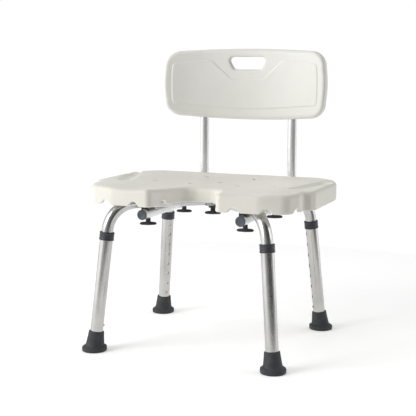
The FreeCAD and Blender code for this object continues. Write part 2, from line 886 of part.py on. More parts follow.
def backrest_panel():
    """A curved moulded panel with a hand slot, and a socket for each post."""
    outline = panel_outline()
    thick, shell = cell["panel_thickness"], cell["shell"]
    curved = curved_slab(outline, thick)
    doc.recompute()
    eased = doc.addObject("Part::Fillet", "PanelEdges")
    eased.Base = curved
    edges = [
        number for number, edge in enumerate(curved.Shape.Edges, start=1)
        if not across_the_rim(edge)
    ]
    radius = cell["panel_edge"].value
    eased.Edges = [(number, radius, radius) for number in edges]

    depth = cell["back_post"] - cell["panel_centre"]
    inner = outline.makeOffset2D(-(shell + 2).value)
    slot_width = (cell["slot_top_half"] + shell) * 2
    slot_height = cell["slot_top"] - cell["slot_bottom"] + shell * 2
    deep, low = 60, as_size(450)
    solid = [block(slot_width, deep, slot_height, 0, 0, cell["slot_bottom"] - shell)]
    tools = [hand_slot()]
    for way in SIDES.values():
        x = cell["back_x"] * way
        width = cell["back_diameter"] + shell * 2
        solid.append(block(width, deep, cell["post_top"] + shell - low, x, 0, low))
        tools.append(cylinder(cell["back_diameter"], cell["post_top"] - low, x, depth, low))
        for z in SCREW_HEIGHTS:
            back = Rotation(Vector(1, 0, 0), -90)
            tools.append(cylinder(cell["screw_diameter"], deep, x, depth, z, back))
            tools.append(cylinder(cell["screw_head"], deep, x, depth + cell["screw_seat"], z, back))
    tools.append(cut(curved_slab(inner, thick - shell * 2), solid))
    panel = finished(cut(eased, tools), "backrest_panel")
    place(panel, 0, cell["crossing_y"] + cell["panel_centre"], 0)


def curved_slab(outline, thick):
    """An upright outline as thick as given, swept forward at its two ends."""
    slab = extruded(outline, Vector(0, 1, 0), 160, symmetric=True)
    height = cell["panel_top"] + 20
    radius = sweep_radius()
    band = cut(
        cylinder(radius * 2 + thick, height, 0, -radius),
        [cylinder(radius * 2 - thick, height + 2, 0, -radius, -1)],
    )
    curved = doc.addObject("Part::MultiCommon", "CurvedSlab")
    curved.Shapes = [slab, band]
    return curved


def across_the_rim(edge):
    """Whether an edge runs through the panel's thickness, from front to back."""
    ends = [vertex.Point for vertex in edge.Vertexes]
    return len(ends) == 2 and abs(ends[0].y - ends[1].y) > 20 and abs(ends[0].z - ends[1].z) < 1


def hand_slot():
    """The grip opening near the panel's top, wider above than below."""
    wide, narrow = cell["slot_top_half"].value, cell["slot_bottom_half"].value
    high, low = cell["slot_top"].value, cell["slot_bottom"].value
    corner = cell["slot_corner"].value
    half = [(narrow, low, corner), (wide, high, corner)]
    mirrored = [(-x, z, radius) for x, z, radius in reversed(half)]
    shape = rounded_outline(half + mirrored)
    upright = Rotation(Vector(1, 0, 0), 90)
    shape.Placement = Placement(Vector(0, 60, 0), upright)
    tool = doc.addObject("Part::Feature", "HandSlot")
    tool.Shape = Part.Face(shape).extrude(Vector(0, -120, 0))
    return tool


def backrest_screws():
    """Four screws from behind, through the panel and into the posts."""
    head, shaft = cell["screw_head"] / 2, cell["screw_diameter"] / 2
    seat = cell["screw_seat"]
    screws = []
    for way in SIDES.values():
        for z in SCREW_HEIGHTS:
            screw = turned([
                (0, 0), (shaft, 0), (shaft, seat), (head, seat), (head, seat + 1),
                (head - 1.5, seat + 2), (0, seat + 2),
            ], "Screw")
            back = Rotation(Vector(1, 0, 0), -90)
            place(screw, cell["back_x"] * way, 0, z, back)
            screws.append(screw)
    group = doc.addObject("Part::Compound", "Screws")
    group.Links = screws
    y = cell["crossing_y"] + cell["back_post"]
    place(finished(group, "backrest_screws"), 0, y, 0)


backrest_panel()
backrest_screws()


# ---------------------------------------------------------------- knobs and saddles


def wing_knob(name, top, angle):
    """A plastic wing knob with a short stem, hanging from its top face."""
    body = doc.addObject("PartDesign::Body", "Knob")
    stem = new_sketch(body, "XY_Plane")
    draw_circle(stem, cell["knob_stem"])
    draw_circle(stem, cell["bolt_diameter"])
    drop = cell["wing_thickness"] + 8
    bind(stem, "AttachmentOffset.Base.z", -drop)
    padded(body, stem, drop)
    wing = new_sketch(body, "XY_Plane")
    reach = (cell["wing_span"] - cell["wing_width"]) / 2
    half = cell["wing_width"] / 2
    slim = half - 1.5
    draw_polygon(wing, [
        (-reach, -slim), (-half, -half), (half, -half), (reach, -slim), (reach + half, -slim / 2),
        (reach + half, slim / 2), (reach, slim), (half, half), (-half, half), (-reach, slim),
        (-reach - half, slim / 2), (-reach - half, -slim / 2),
    ])
    draw_circle(wing, cell["bolt_diameter"])
    bind(wing, "AttachmentOffset.Base.z", -drop)
    padded(body, wing, cell["wing_thickness"])
    x, y = bolt_places()[name]
    turn = Rotation(Vector(0, 0, 1), angle)
    place(finished(body, "wing_knob_" + name), x, cell["crossing_y"] + y, top, turn)


def knob_bolt(name, top):
    """The steel stud moulded into a wing knob."""
    drop = cell["wing_thickness"] + 7
    bottom = top - drop
    stud = cylinder(cell["bolt_diameter"], cell["bolt_top"] - bottom)
    x, y = bolt_places()[name]
    place(finished(stud, "knob_bolt_" + name), x, cell["crossing_y"] + y, bottom)


def tube_saddle(name):
    """A plastic cradle that fills the corners where a back tube meets a cross tube."""
    low = cell["back_height"] + cell["saddle_rise"]
    high = cross_height - 1.5
    body = block(cell["saddle_width"], cell["saddle_length"], high - low, 0, 0, low)
    side_x, side_y = LEGS[name]
    half = 60
    along = Rotation(Vector(1, 0, 0), 90)
    turn = Rotation(Vector(0, 0, 1), heading(name))
    level = turn.multiply(Rotation(Vector(0, 1, 0), 90))
    reach = turn.multVec(Vector(half, 0, 0))
    under = cylinder(cell["back_diameter"], half * 2, 0, half, cell["back_height"], along)
    over = cylinder(cell["cross_diameter"], half * 2, -reach.x, -reach.y, cross_height, level)
    bore = cylinder(cell["bolt_hole"], half, 0, 0, cell["back_height"])
    saddle = finished(cut(body, [under, over, bore]), "tube_saddle_" + name)
    place(saddle, cell["back_x"] * side_x, cell["crossing_y"] + knob_y * side_y, 0)


def centre_spacer(low, high):
    """The block under the crossing that the middle knob pulls against."""
    body = doc.addObject("PartDesign::Body", "Spacer")
    section = new_sketch(body, "XY_Plane")
    half = cell["spacer_width"] / 2
    draw_polygon(section, [(-half, -half), (half, -half), (half, half), (-half, half)])
    draw_circle(section, cell["bolt_hole"])
    padded(body, section, high - low)
    place(finished(body, "centre_spacer"), 0, cell["crossing_y"], low)


tube_low = cell["back_height"] - cell["back_diameter"] / 2 - cell["clearance"]
cross_low = cross_height - cell["cross_diameter"] / 2
spacer_low = cross_low - cell["spacer_height"]
centre_top = spacer_low - cell["clearance"]
for knob_name, knob_turn in KNOB_TURNS.items():
    wing_knob(knob_name, tube_low, knob_turn)
    knob_bolt(knob_name, tube_low)
    tube_saddle(knob_name)
centre_spacer(spacer_low, cross_low)
wing_knob("centre", centre_top, CENTRE_KNOB_TURN)
knob_bolt("centre", centre_top)


# ---------------------------------------------------------------- checks and export


def check_and_export():
    doc.recompute()
    for thing in doc.Objects:
        if "Invalid" in thing.State or "Error" in thing.State:
            raise RuntimeError("%s (%s) is %s" % (thing.Name, thing.Label, thing.State))
    for part in subparts:
        if part.Shape.isNull() or not part.Shape.isValid():
            raise RuntimeError("%s has no valid shape" % part.Label)
    os.makedirs("parts", exist_ok=True)
    whole = FreeCAD.BoundBox()
    for part in subparts:
        part.Shape.exportStep("parts/%s.step" % part.Label)
        whole.add(part.Shape.optimalBoundingBox(False))
    print("sub-parts:", len(subparts))
    print("box:", whole)


check_and_export()
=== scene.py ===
import json
import math

import bmesh
import bpy
import numpy as np
from mathutils import Matrix, Vector
from mathutils.geometry import delaunay_2d_cdt


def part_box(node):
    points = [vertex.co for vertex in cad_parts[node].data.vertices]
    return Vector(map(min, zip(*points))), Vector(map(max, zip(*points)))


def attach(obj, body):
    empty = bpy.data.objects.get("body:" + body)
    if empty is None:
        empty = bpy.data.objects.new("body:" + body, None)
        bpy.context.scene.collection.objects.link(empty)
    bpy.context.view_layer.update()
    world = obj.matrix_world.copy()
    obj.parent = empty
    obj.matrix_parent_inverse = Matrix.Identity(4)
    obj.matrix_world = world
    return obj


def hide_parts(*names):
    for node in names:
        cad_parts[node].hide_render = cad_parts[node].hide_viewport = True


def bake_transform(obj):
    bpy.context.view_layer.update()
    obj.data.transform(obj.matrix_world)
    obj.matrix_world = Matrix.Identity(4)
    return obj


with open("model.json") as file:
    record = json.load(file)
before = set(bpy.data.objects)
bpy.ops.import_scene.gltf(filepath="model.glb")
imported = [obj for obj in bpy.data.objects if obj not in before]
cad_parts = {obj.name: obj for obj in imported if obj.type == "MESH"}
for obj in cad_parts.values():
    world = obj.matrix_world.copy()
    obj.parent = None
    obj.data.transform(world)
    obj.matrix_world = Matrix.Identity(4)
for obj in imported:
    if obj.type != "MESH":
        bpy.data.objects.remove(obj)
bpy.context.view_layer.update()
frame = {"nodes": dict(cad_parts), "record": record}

# A height-adjustable shower chair. Everything is in metres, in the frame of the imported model:
# +Z is up, the sitter looks along -Y, and +X is the sitter's left.

MM = 0.001
LEGS = ("front_left", "front_right", "back_left", "back_right")
KNOBS = LEGS + ("centre",)


def middle(node):
    """The middle of a CAD node's box."""
    low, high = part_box(node)
    return (low + high) / 2


CROSSING = middle("centre_spacer")
SEAT_LOW, SEAT_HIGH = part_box("seat_board")
PANEL_LOW, PANEL_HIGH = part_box("backrest_panel")
TUBE_X = middle("tube_cap_left").x


# ---------------------------------------------------------------- mesh building


class Surface:
    """A mesh that is put together from strips, fields and rings that share their points."""

    def __init__(self):
        self.points = []
        self.faces = []

    def add(self, points):
        """New points, as the list of their numbers."""
        first = len(self.points)
        self.points.extend(tuple(point) for point in points)
        return list(range(first, len(self.points)))

    def stitch(self, lower, upper):
        """Quads between two closed rings that have as many points."""
        for step in range(len(lower)):
            after = (step + 1) % len(lower)
            self.faces.append((lower[step], lower[after], upper[after], upper[step]))

    def rings(self, rings):
        """Strips through closed rings of points, as the numbers of each ring."""
        numbers = [self.add(ring) for ring in rings]
        for lower, upper in zip(numbers, numbers[1:]):
            self.stitch(lower, upper)
        return numbers

    def close(self, ring, centre):
        """A fan of triangles from a ring to one point."""
        tip = self.add([centre])[0]
        for step in range(len(ring)):
            self.faces.append((ring[step], ring[(step + 1) % len(ring)], tip))

    def piece(self, name, material, smooth_angle=40):
        """The finished object, with outward faces and soft shading up to an angle."""
        mesh = bpy.data.meshes.new(name)
        mesh.from_pydata(self.points, [], self.faces)
        mesh.validate()
        mesh.materials.append(material)
        thing = bpy.data.objects.new(name, mesh)
        bpy.context.scene.collection.objects.link(thing)
        tidy_normals(mesh, smooth_angle)
        return thing


def tidy_normals(mesh, smooth_angle):
    """Merge doubled points, turn faces outward, and shade softly up to an angle."""
    work = bmesh.new()
    work.from_mesh(mesh)
    bmesh.ops.remove_doubles(work, verts=work.verts, dist=1e-7)
    bmesh.ops.recalc_face_normals(work, faces=work.faces)
    for face in work.faces:
        face.smooth = True
    limit = math.radians(smooth_angle)
    for edge in work.edges:
        edge.smooth = len(edge.link_faces) == 2 and edge.calc_face_angle() < limit
    work.to_mesh(mesh)
    work.free()


def rounded_loop(corners, spacing):
    """A closed outline through (x, y, radius) corners, as an array of evenly spaced points."""
    places = [np.array(corner[:2], float) for corner in corners]
    stops = []
    for step, (_, _, radius) in enumerate(corners):
        here = places[step]
        back = places[step - 1] - here
        ahead = places[(step + 1) % len(places)] - here
        back /= np.linalg.norm(back)
        ahead /= np.linalg.norm(ahead)
        half = math.acos(np.clip(back @ ahead, -1, 1)) / 2
        inward = (back + ahead) / np.linalg.norm(back + ahead)
        centre = here + inward * radius / math.sin(half)
        reach = radius / math.tan(half)
        start, end = here + back * reach - centre, here + ahead * reach - centre
        turn = math.atan2(start[0] * end[1] - start[1] * end[0], start @ end)
        count = max(2, math.ceil(abs(turn) * radius / min(spacing, radius * 0.25)))
        for share in np.linspace(0, 1, count + 1):
            c, s = math.cos(turn * share), math.sin(turn * share)
            turned = [start[0] * c - start[1] * s, start[0] * s + start[1] * c]
            stops.append(centre + np.array(turned))
    loop = []
    for start, end in zip(stops, stops[1:] + stops[:1]):
        gap = np.linalg.norm(end - start)
        if gap < 1e-7:
            continue
        count = max(1, math.ceil(gap / spacing))
        for share in range(count):
            loop.append(start + (end - start) * share / count)
    return np.array(loop)


def circle(centre, radius, count):
    """A closed ring of evenly spaced 2-D points."""
    turn = np.linspace(0, 2 * math.pi, count, endpoint=False)
    return np.column_stack([centre[0] + radius * np.cos(turn), centre[1] + radius * np.sin(turn)])


def edge_distance(points, loop):
    """How far each point is from a closed outline."""
    start = loop
    step = np.roll(loop, -1, axis=0) - loop
    length = (step ** 2).sum(1)
    nearest = np.full(len(points), np.inf)
    for first in range(0, len(points), 400):
        part = points[first:first + 400, None, :] - start[None]
        share = np.clip((part * step).sum(2) / length, 0, 1)
        gap = part - share[..., None] * step
        nearest[first:first + 400] = np.sqrt((gap ** 2).sum(2).min(1))
    return nearest


def inside(points, loop):
    """Which points lie inside a closed outline."""
    within = np.zeros(len(points), bool)
    x, y = points[:, 0], points[:, 1]
    for (ax, ay), (bx, by) in zip(loop, np.roll(loop, -1, axis=0)):
        if ay == by:
            continue
        crossed = ((ay > y) != (by > y)) & (x < (bx - ax) * (y - ay) / (by - ay) + ax)
        within ^= crossed
    return within


def inset_points(loop, depths, thin_from=5 * MM):
    """Points inside an outline at given depths, left out where the outline turns too tightly."""
    along = np.roll(loop, -1, axis=0) - np.roll(loop, 1, axis=0)
    along /= np.linalg.norm(along, axis=1)[:, None]
    inward = np.column_stack([-along[:, 1], along[:, 0]])
    if not inside(loop[:1] + inward[:1] * 1e-5, loop)[0]:
        inward = -inward
    kept = []
    for depth in depths:
        ring = (loop + inward * depth)[::2 if depth > thin_from else 1]
        good = (edge_distance(ring, loop) > depth * 0.985) & inside(ring, loop)
        kept.append(ring[good])
    return np.concatenate(kept)


def offset_loop(loop, distance):
    """An outline moved outward, or inward where the distance is below 0."""
    along = np.roll(loop, -1, axis=0) - np.roll(loop, 1, axis=0)
    along /= np.linalg.norm(along, axis=1)[:, None]
    outward = np.column_stack([along[:, 1], -along[:, 0]])
    if inside(loop[:1] + outward[:1] * 1e-5, loop)[0]:
        outward = -outward
    moved = loop + outward * distance
    good = edge_distance(moved, loop) > abs(distance) * 0.98
    return moved[good]


def grid_points(low, high, spacing):
    """Staggered rows of points in a rectangle."""
    rows = np.arange(low[1], high[1], spacing * 0.87)
    found = []
    for number, y in enumerate(rows):
        x = np.arange(low[0] + (number % 2) * spacing / 2, high[0], spacing)
        found.append(np.column_stack([x, np.full(len(x), y)]))
    return np.concatenate(found)


def thinned(points, gap):
    """The points that stay clear of the ones kept before them."""
    cells = {}
    kept = []
    for x, y in points:
        column, row = int(x // gap), int(y // gap)
        near = [
            other for across in (-1, 0, 1) for up in (-1, 0, 1)
            for other in cells.get((column + across, row + up), [])
        ]
        if all((x - a) ** 2 + (y - b) ** 2 > gap * gap for a, b in near):
            kept.append((x, y))
            cells.setdefault((column, row), []).append((x, y))
    return np.array(kept).reshape(-1, 2)


def field(surface, loops, extra, lift):
    """A sheet inside the first loop and outside the others, with places from lift(2-D points)."""
    flat = np.concatenate(list(loops) + [extra])
    edges, first = [], 0
    for loop in loops:
        count = len(loop)
        edges += [(first + step, first + (step + 1) % count) for step in range(count)]
        first += count
    corners = [Vector(point) for point in flat]
    spots, _, faces, origins, _, _ = delaunay_2d_cdt(corners, edges, [], 1, 1e-9)
    where = np.array([tuple(spot) for spot in spots])
    numbers = surface.add(lift(where))
    centres = np.array([where[list(face)].mean(0) for face in faces])
    keep = inside(centres, loops[0])
    for hole in loops[1:]:
        keep &= ~inside(centres, hole)
    surface.faces += [
        tuple(numbers[i] for i in face) for face, wanted in zip(faces, keep) if wanted
    ]
    found = {origin: numbers[i] for i, group in enumerate(origins) for origin in group}
    rings, first = [], 0
    for loop in loops:
        rings.append([found[first + step] for step in range(len(loop))])
        first += len(loop)
    return rings


def places_of(surface, ring):
    """Where a ring's numbered points are."""
    return np.array([surface.points[number] for number in ring])


def joined_by_wall(surface, ring_a, ring_b, shares):
    """A wall between two rings, with rows at given shares of the way."""
    a, b = places_of(surface, ring_a), places_of(surface, ring_b)
    rows = [ring_a] + [surface.add(a + (b - a) * share) for share in shares] + [ring_b]
    for lower, upper in zip(rows, rows[1:]):
        surface.stitch(lower, upper)


def ease(value):
    """A smooth step from 0 to 1."""
    value = np.clip(value, 0, 1)
    return value * value * (3 - 2 * value)


def rounding(depth, radius):
    """How far a surface drops near a rounded edge."""
    inset = np.clip(radius - depth, 0, radius)
    return radius - np.sqrt(radius * radius - inset * inset)


# ---------------------------------------------------------------- materials


def new_material(name, colour, roughness, metallic=0.0):
    """A material with its node tree and its shader."""
    material = bpy.data.materials.new(name)
    material.use_nodes = True
    shader = material.node_tree.nodes["Principled BSDF"]
    shader.inputs["Base Color"].default_value = (*colour, 1)
    shader.inputs["Roughness"].default_value = roughness
    shader.inputs["Metallic"].default_value = metallic
    return material, material.node_tree, shader


def noise(tree, scale, detail=3, stretch=(1, 1, 1)):
    """Noise in object space, stretched along one axis where the finish is drawn."""
    nodes, links = tree.nodes, tree.links
    where = nodes.new("ShaderNodeTexCoord")
    mapping = nodes.new("ShaderNodeMapping")
    mapping.inputs["Scale"].default_value = stretch
    texture = nodes.new("ShaderNodeTexNoise")
    texture.inputs["Scale"].default_value = scale
    texture.inputs["Detail"].default_value = detail
    links.new(where.outputs["Object"], mapping.inputs["Vector"])
    links.new(mapping.outputs["Vector"], texture.inputs["Vector"])
    return texture.outputs["Fac"]


def ramp(tree, value, low, high, from_low=0.3, from_high=0.7):
    """A value carried from one range to another."""
    node = tree.nodes.new("ShaderNodeMapRange")
    node.inputs["From Min"].default_value = from_low
    node.inputs["From Max"].default_value = from_high
    node.inputs["To Min"].default_value = low
    node.inputs["To Max"].default_value = high
    tree.links.new(value, node.inputs["Value"])
    return node.outputs["Result"]


def tinted(tree, value, dark, light):
    """A colour that drifts between two with a value."""
    node = tree.nodes.new("ShaderNodeValToRGB")
    node.color_ramp.elements[0].position = 0.3
    node.color_ramp.elements[1].position = 0.7
    node.color_ramp.elements[0].color = (*dark, 1)
    node.color_ramp.elements[1].color = (*light, 1)
    tree.links.new(value, node.inputs["Fac"])
    return node.outputs["Color"]


def bump(tree, shader, layers):
    """Height layers, as (value, strength, distance), one over another."""
    normal = None
    for value, strength, distance in layers:
        node = tree.nodes.new("ShaderNodeBump")
        node.inputs["Strength"].default_value = strength
        node.inputs["Distance"].default_value = distance
        tree.links.new(value, node.inputs["Height"])
        if normal:
            tree.links.new(normal, node.inputs["Normal"])
        normal = node.outputs["Normal"]
    tree.links.new(normal, shader.inputs["Normal"])


def moulded_plastic(name, dark, light):
    """Blow-moulded plastic: a pebbled, wavy skin, a little translucent, with colour drift."""
    rough = (0.42, 0.56)
    material, tree, shader = new_material(name, light, rough[0])
    drift = noise(tree, 7, 4)
    pebbles = noise(tree, 1300, 2)
    waves = noise(tree, 38, 3)
    tree.links.new(tinted(tree, drift, dark, light), shader.inputs["Base Color"])
    tree.links.new(ramp(tree, noise(tree, 60, 5), *rough), shader.inputs["Roughness"])
    bump(tree, shader, [(waves, 0.12, 1.2 * MM), (pebbles, 0.18, 0.12 * MM)])
    shader.inputs["Subsurface Weight"].default_value = 0.12
    shader.inputs["Subsurface Radius"].default_value = (1.0, 0.85, 0.7)
    shader.inputs["Subsurface Scale"].default_value = 4 * MM
    return material


def satin_metal(name, dark, light, rough, metallic=1.0):
    """Drawn metal with an anodised or brushed skin whose streaks run upright."""
    material, tree, shader = new_material(name, light, rough[0], metallic)
    streaks = noise(tree, 1, 4, stretch=(420, 420, 7))
    smudges = noise(tree, 24, 4)
    grains = noise(tree, 2600, 2)
    tree.links.new(tinted(tree, smudges, dark, light), shader.inputs["Base Color"])
    tree.links.new(ramp(tree, streaks, *rough), shader.inputs["Roughness"])
    bump(tree, shader, [(streaks, 0.10, 0.05 * MM), (grains, 0.08, 0.02 * MM)])
    return material


def soft_rubber(name, dark, light, rough=(0.55, 0.8), grain=0.3):
    """Matt rubber or cast plastic with a fine grain and a dusting of lighter wear."""
    material, tree, shader = new_material(name, light, rough[0])
    wear = noise(tree, 90, 5)
    grains = noise(tree, 1800, 3)
    tree.links.new(tinted(tree, wear, dark, light), shader.inputs["Base Color"])
    tree.links.new(ramp(tree, noise(tree, 220, 4), *rough), shader.inputs["Roughness"])
    bump(tree, shader, [(grains, grain, 0.1 * MM), (wear, 0.1, 0.2 * MM)])
    return material


MATERIALS = {
    "seat_plastic": moulded_plastic(
        "seat_plastic_skin", (0.70, 0.68, 0.61), (0.75, 0.735, 0.675)),
    "backrest_plastic": moulded_plastic(
        "backrest_plastic_skin", (0.73, 0.725, 0.68), (0.775, 0.77, 0.73)),
    "anodised_tube": satin_metal(
        "anodised_tube_skin", (0.50, 0.50, 0.495), (0.57, 0.57, 0.565), (0.17, 0.26)),
    "anodised_leg": satin_metal(
        "anodised_leg_skin", (0.48, 0.475, 0.46), (0.55, 0.545, 0.53), (0.18, 0.28)),
    "cap_plastic": soft_rubber(
        "cap_plastic_skin", (0.060, 0.075, 0.092), (0.085, 0.105, 0.128), (0.4, 0.6)),
    "collar_plastic": soft_rubber(
        "collar_plastic_skin", (0.022, 0.024, 0.031), (0.034, 0.037, 0.046), (0.4, 0.6), 0.2),
    "black_plastic": soft_rubber(
        "black_plastic_skin", (0.012, 0.012, 0.013), (0.022, 0.022, 0.023), (0.32, 0.5), 0.15),
    "foot_rubber": soft_rubber("foot_rubber_skin", (0.022, 0.024, 0.027), (0.036, 0.038, 0.042)),
    "button_brass": satin_metal(
        "button_brass_skin", (0.42, 0.33, 0.17), (0.55, 0.45, 0.26), (0.25, 0.4)),
    "insert_brass": satin_metal(
        "insert_brass_skin", (0.50, 0.38, 0.18), (0.62, 0.48, 0.25), (0.3, 0.45)),
    "spring_steel": satin_metal(
        "spring_steel_skin", (0.36, 0.36, 0.37), (0.48, 0.48, 0.49), (0.3, 0.45)),
    "washer_steel": satin_metal(
        "washer_steel_skin", (0.45, 0.45, 0.46), (0.56, 0.56, 0.57), (0.3, 0.5)),
    "bolt_steel": satin_metal(
        "bolt_steel_skin", (0.45, 0.45, 0.45), (0.58, 0.58, 0.58), (0.25, 0.42)),
    "screw_steel": satin_metal(
        "screw_steel_skin", (0.55, 0.55, 0.55), (0.68, 0.68, 0.68), (0.2, 0.35)),
}
# The back tubes share the other tubes' slot; this paler, less metallic copy of their finish is
# painted sheen, standing in for the brighter light on them.
BACK_TUBE_PAINTED_SHEEN = satin_metal(
    "back_tube_painted_sheen_skin", (0.72, 0.725, 0.73), (0.80, 0.805, 0.81), (0.18, 0.27), 0.5)


def dress_cad_nodes():
    """Every CAD node takes the finish of its own slot, and the back tubes a paler copy that paints
    in their brighter sheen.
    """
    for part in frame["record"]["subparts"]:
        # The back tubes take the paler copy: painted sheen, not a different metal.
        skin = BACK_TUBE_PAINTED_SHEEN if "back_tube" in part["node"] else MATERIALS[part["material_slot"]]
        mesh = frame["nodes"][part["node"]].data
        mesh.materials.clear()
        mesh.materials.append(skin)


# ---------------------------------------------------------------- seat board

SEAT_RECESS = 75  # half the front recess's width, in millimetres
SEAT_RIM = 9 * MM
SEAT_LIP = 1.6 * MM
SKIRT_WALL = 9 * MM
DISH_DEPTH = 7.4 * MM
DISH_MIDDLE, DISH_ACROSS, DISH_AHEAD, DISH_BEHIND = 10 * MM, 205 * MM, 260 * MM, 160 * MM
DISH_FRONT, DISH_FRONT_FADE = -150 * MM, 36 * MM
THIGH_DEPTH, THIGH_X, THIGH_INSIDE, THIGH_OUTSIDE = 3 * MM, 125 * MM, 50 * MM, 75 * MM
THIGH_START, THIGH_FADE = -60 * MM, 90 * MM
ARCH_RADIUS, ARCH_FLARE = 10.4 * MM, 8 * MM
ARCH_X, ARCH_Y = (TUBE_X, 182 * MM), -128 * MM
DRAIN_RADIUS, DRAIN_STEP, DRAIN_MOUTH, DRAIN_DEPTH = 3.2 * MM, 4.6 * MM, 6.8 * MM, 4 * MM
TROUGH_RADIUS, TROUGH_DEPTH, TROUGH_ENDS = 23 * MM, 6.5 * MM, ((204, -34), (236, 84))
NOTCH_RADIUS, NOTCH_DEPTH, NOTCH_ENDS = 9 * MM, 5 * MM, ((230, 111), (268, 149))
SEAT_DRAINS = ((142, 4), (58, 4), (60, 113), (-142, 4), (-58, 4), (-60, 113), (0, 48))
# How closely the mesh's points lie: in the troughs, over the top, and under the seat.
TROUGH_GRID, TOP_GRID, UNDER_GRID, SEAT_POINT_GAP = 3.2 * MM, 7 * MM, 12 * MM, 2.6 * MM


def seat_outline(spacing):
    """The seat's plan, measured from the crossing: a front recess between two lobes."""
    half = SEAT_HIGH.x / MM
    front, back = (SEAT_LOW.y - CROSSING.y) / MM, (SEAT_HIGH.y - CROSSING.y) / MM
    side = [
        (0.53 * SEAT_RECESS, front + 126, 38),
        (0.88 * SEAT_RECESS, front + 46, 60),
        (SEAT_RECESS, front + 3, 12),
        (165, front + 8, 60),
        (222, front + 22, 30),
        (half - 18, front + 62, 22),
        (half - 22, front + 94, 8),
        (half - 8, front + 102, 6),
        (half, front + 114, 10),
        (half, 90, 150),
        (half - 13, back, 80),
    ]
    corners = side + [(-x, y, radius) for x, y, radius in reversed(side)]
    return rounded_loop([tuple(value * MM for value in corner) for corner in corners], spacing)


def groove(spots, start, end, radius, depth):
    """The depth of a round-bottomed groove between two places given in millimetres."""
    start, end = np.array(start) * MM, np.array(end) * MM
    along = end - start
    share = np.clip((spots - start) @ along / (along @ along), 0, 1)
    gap = np.linalg.norm(spots - start - share[:, None] * along, axis=1)
    bowl = np.sqrt(np.clip(radius ** 2 - gap ** 2, 0, None)) - (radius - depth)
    soft = depth * 0.42
    blend = np.clip(0.5 + bowl / (4 * soft), 0, 1)
    return bowl * blend + soft * 2 * blend * (1 - blend)


def hand_hold(spots):
    """The troughs beside the side edges, each with a small notch in the rim behind it."""
    across = np.column_stack([np.abs(spots[:, 0]), spots[:, 1]])
    trough = groove(across, *TROUGH_ENDS, TROUGH_RADIUS, TROUGH_DEPTH)
    notch = groove(across, *NOTCH_ENDS, NOTCH_RADIUS, NOTCH_DEPTH)
    return trough + notch


def dish(spots):
    """The sitting hollow, which runs out into the recess, and a shallow one for each thigh."""
    x, y = np.abs(spots[:, 0]), spots[:, 1] - DISH_MIDDLE
    reach = np.hypot(x / DISH_ACROSS, y / np.where(y < 0, DISH_AHEAD, DISH_BEHIND))
    front = ease((DISH_FRONT - spots[:, 1]) / DISH_FRONT_FADE)
    bowl = DISH_DEPTH * (1 - ease((reach - 0.35) / 0.75)) * (1 - 0.9 * front)
    width = np.where(x < THIGH_X, THIGH_INSIDE, THIGH_OUTSIDE)
    ahead = ease((THIGH_START - spots[:, 1]) / THIGH_FADE)
    return bowl + THIGH_DEPTH * ease(1 - np.abs(x - THIGH_X) / width) * ahead


def arch(gap):
    """The height of an arch with flared feet in the skirt, by the distance from its middle."""
    reach = math.sqrt(ARCH_RADIUS ** 2 + 2 * ARCH_RADIUS * ARCH_FLARE)
    meet = reach * ARCH_RADIUS / (ARCH_RADIUS + ARCH_FLARE)
    crown = np.sqrt(np.clip(ARCH_RADIUS ** 2 - gap ** 2, 0, None))
    foot = ARCH_FLARE - np.sqrt(np.clip(ARCH_FLARE ** 2 - (gap - reach) ** 2, 0, None))
    return np.where(gap < meet, crown, np.where(gap < reach, foot, 0))


